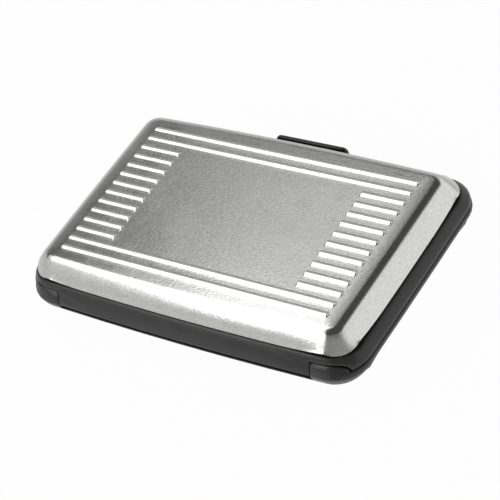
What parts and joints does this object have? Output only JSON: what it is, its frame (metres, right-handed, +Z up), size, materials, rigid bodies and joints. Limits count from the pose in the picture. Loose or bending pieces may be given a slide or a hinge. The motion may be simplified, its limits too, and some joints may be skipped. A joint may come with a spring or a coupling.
{
  "type": "credit card holder",
  "caption": "Hard card case with two ribbed aluminium covers on black plastic frames, hinged along one long side, latched on the other, with a fan of card pockets inside.",
  "frame": {"origin": "on the table, under the middle of the closed case's bounding box", "axes": "+X along the hinge, to the right when the hinge faces the viewer; +Y from the hinge to the latch; +Z up"},
  "size_m": [0.111, 0.0722, 0.02],
  "materials": {
    "satin_aluminium": "fine satin grain, bare",
    "black_plastic": "satin moulded",
    "steel_wire": "drawn wire",
    "pocket_film": "smooth dark film",
    "mounting_tape": "matte foam tape"
  },
  "bodies": {
    "base": {"lower_cover": "satin_aluminium", "lower_frame": "black_plastic", "hinge_pin_left": "steel_wire", "hinge_pin_right": "steel_wire", "tape_lower": "mounting_tape", "pocket_sheet_lower": "pocket_film", "gusset_left": "pocket_film", "gusset_right": "pocket_film", "gusset_front": "pocket_film"},
    "lid": {"upper_cover": "satin_aluminium", "upper_frame": "black_plastic", "latch_pin": "steel_wire", "latch_spring": "steel_wire", "tape_upper": "mounting_tape", "pocket_sheet_upper": "pocket_film"},
    "latch": {"latch_lever": "black_plastic"},
    "leaf_1": {"divider_1": "pocket_film"},
    "leaf_2": {"divider_2": "pocket_film"},
    "leaf_3": {"divider_3": "pocket_film"},
    "leaf_4": {"divider_4": "pocket_film"},
    "leaf_5": {"divider_5": "pocket_film"},
    "leaf_6": {"divider_6": "pocket_film"}
  },
  "joints": [
    {"name": "lid_hinge", "type": "hinge", "parent": "base", "child": "lid", "pos_m": [0, -0.0328, 0.0106], "axis": [1, 0, 0], "range_deg": [0, 60], "deforming": ["gusset_left", "gusset_right", "gusset_front"]},
    {"name": "latch_swing", "type": "hinge", "parent": "lid", "child": "latch", "pos_m": [0, 0.0334, 0.0113], "axis": [1, 0, 0], "range_deg": [0, 12], "stiffness_Nm_per_rad": 0.01, "springref_deg": -14.32},
    {"name": "leaf_hinge_1", "type": "hinge", "parent": "base", "child": "leaf_1", "pos_m": [0, -0.0328, 0.0106], "axis": [1, 0, 0], "range_deg": [0, 3.4]},
    {"name": "leaf_hinge_2", "type": "hinge", "parent": "base", "child": "leaf_2", "pos_m": [0, -0.0328, 0.0106], "axis": [1, 0, 0], "range_deg": [0, 12]},
    {"name": "leaf_hinge_3", "type": "hinge", "parent": "base", "child": "leaf_3", "pos_m": [0, -0.0328, 0.0106], "axis": [1, 0, 0], "range_deg": [0, 23.7]},
    {"name": "leaf_hinge_4", "type": "hinge", "parent": "base", "child": "leaf_4", "pos_m": [0, -0.0328, 0.0106], "axis": [1, 0, 0], "range_deg": [0, 36.5]},
    {"name": "leaf_hinge_5", "type": "hinge", "parent": "base", "child": "leaf_5", "pos_m": [0, -0.0328, 0.0106], "axis": [1, 0, 0], "range_deg": [0, 48.2]},
    {"name": "leaf_hinge_6", "type": "hinge", "parent": "base", "child": "leaf_6", "pos_m": [0, -0.0328, 0.0106], "axis": [1, 0, 0], "range_deg": [0, 56.8]}
  ],
  "couplings": [
    {"joint": "leaf_hinge_1", "follows": "lid_hinge", "ratio": 0.0554},
    {"joint": "leaf_hinge_2", "follows": "lid_hinge", "ratio": 0.1983},
    {"joint": "leaf_hinge_3", "follows": "lid_hinge", "ratio": 0.3936},
    {"joint": "leaf_hinge_4", "follows": "lid_hinge", "ratio": 0.6064},
    {"joint": "leaf_hinge_5", "follows": "lid_hinge", "ratio": 0.8017},
    {"joint": "leaf_hinge_6", "follows": "lid_hinge", "ratio": 0.9446}
  ]
}
